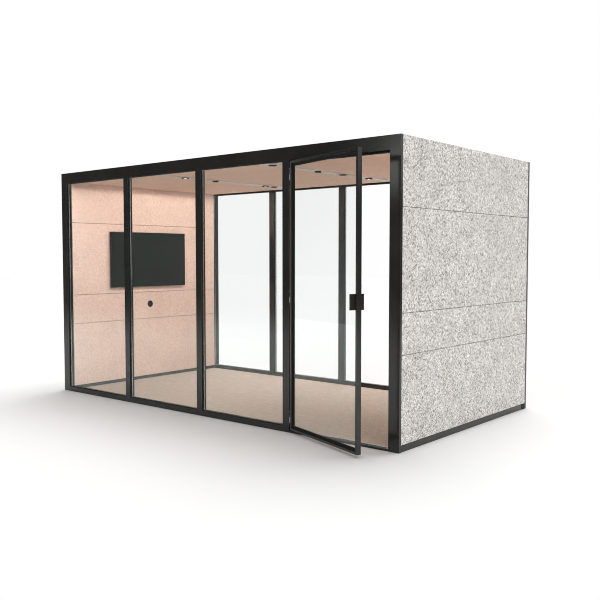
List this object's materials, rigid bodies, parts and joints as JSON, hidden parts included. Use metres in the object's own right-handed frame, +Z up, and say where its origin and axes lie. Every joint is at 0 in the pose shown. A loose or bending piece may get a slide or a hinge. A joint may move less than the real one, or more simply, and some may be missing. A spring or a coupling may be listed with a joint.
{
  "type": "acoustic office pod",
  "caption": "Free-standing glazed meeting room with a black metal frame, felt end walls and ceiling, a hinged glass door, ceiling light channels and a wall screen.",
  "frame": {"origin": "on the ground under the middle of the room, midway between the end walls and between the front and back faces", "axes": "+X along the glazed front towards the door, +Y from the front to the back, +Z up"},
  "size_m": [4.224, 2.5443, 2.3],
  "materials": {
    "frame_black": "semi-gloss black powder coat on extruded aluminium",
    "carpet": "greige loop carpet on a thin board",
    "wool": "matt mineral wool board",
    "felt_grey": "mottled light grey pressed felt",
    "felt_peach": "mottled peach pressed felt",
    "ceiling_felt": "peach pressed felt on an acoustic board",
    "glass": "clear float glass with a slight green cast",
    "roof": "matt dark grey laminate on board",
    "channel": "satin anodised aluminium",
    "fan_plastic": "matt black glass-filled plastic",
    "hinge_steel": "blackened steel",
    "bracket": "matt black paint",
    "screen": "dark glossy panel, switched off"
  },
  "bodies": {
    "root": {"base_rail_front": "frame_black", "base_rail_back": "frame_black", "base_rail_left": "frame_black", "base_rail_right": "frame_black", "door_threshold": "frame_black", "post_front_left": "frame_black", "post_front_right": "frame_black", "post_back_left": "frame_black", "post_back_right": "frame_black", "mullion_front_left": "frame_black", "mullion_front_middle": "frame_black", "hinge_jamb": "frame_black", "mullion_back_left": "frame_black", "mullion_back_middle": "frame_black", "mullion_back_right": "frame_black", "head_beam_front": "frame_black", "head_beam_back": "frame_black", "floor_panel": "carpet", "wall_core_left": "wool", "felt_outer_left_bottom": "felt_grey", "felt_inner_left_bottom": "felt_peach", "felt_outer_left_lower": "felt_grey", "felt_inner_left_lower": "felt_peach", "felt_outer_left_upper": "felt_grey", "felt_inner_left_upper": "felt_peach", "felt_outer_left_top": "felt_grey", "felt_inner_left_top": "felt_peach", "wall_core_right": "wool", "felt_outer_right_bottom": "felt_grey", "felt_inner_right_bottom": "felt_peach", "felt_outer_right_lower": "felt_grey", "felt_inner_right_lower": "felt_peach", "felt_outer_right_upper": "felt_grey", "felt_inner_right_upper": "felt_peach", "felt_outer_right_top": "felt_grey", "felt_inner_right_top": "felt_peach", "glazing_front_1": "glass", "glazing_front_2": "glass", "glazing_front_3": "glass", "glazing_back_1": "glass", "glazing_back_2": "glass", "glazing_back_3": "glass", "glazing_back_4": "glass", "roof_panel": "roof", "ceiling_panel_left": "ceiling_felt", "ceiling_panel_middle": "ceiling_felt", "ceiling_panel_right": "ceiling_felt", "light_channel_left": "channel", "light_channel_right": "channel", "fan_housing": "fan_plastic", "hinge_top": "hinge_steel", "hinge_middle": "hinge_steel", "hinge_bottom": "hinge_steel", "screen_bracket": "bracket", "screen": "screen"},
    "door": {"door_frame": "frame_black", "door_glass": "glass", "pull_outer": "frame_black", "pull_inner": "frame_black"},
    "fan": {"fan_rotor": "fan_plastic"}
  },
  "joints": [
    {"name": "door_swing", "type": "hinge", "parent": "root", "child": "door", "pos_m": [1.0685, -1.097, 0], "axis": [0, 0, -1], "range_deg": [-19, 81]},
    {"name": "fan_spin", "type": "hinge", "parent": "root", "child": "fan", "pos_m": [0.68, 0.1, 2.24], "axis": [0, 0, 1], "continuous": true}
  ]
}
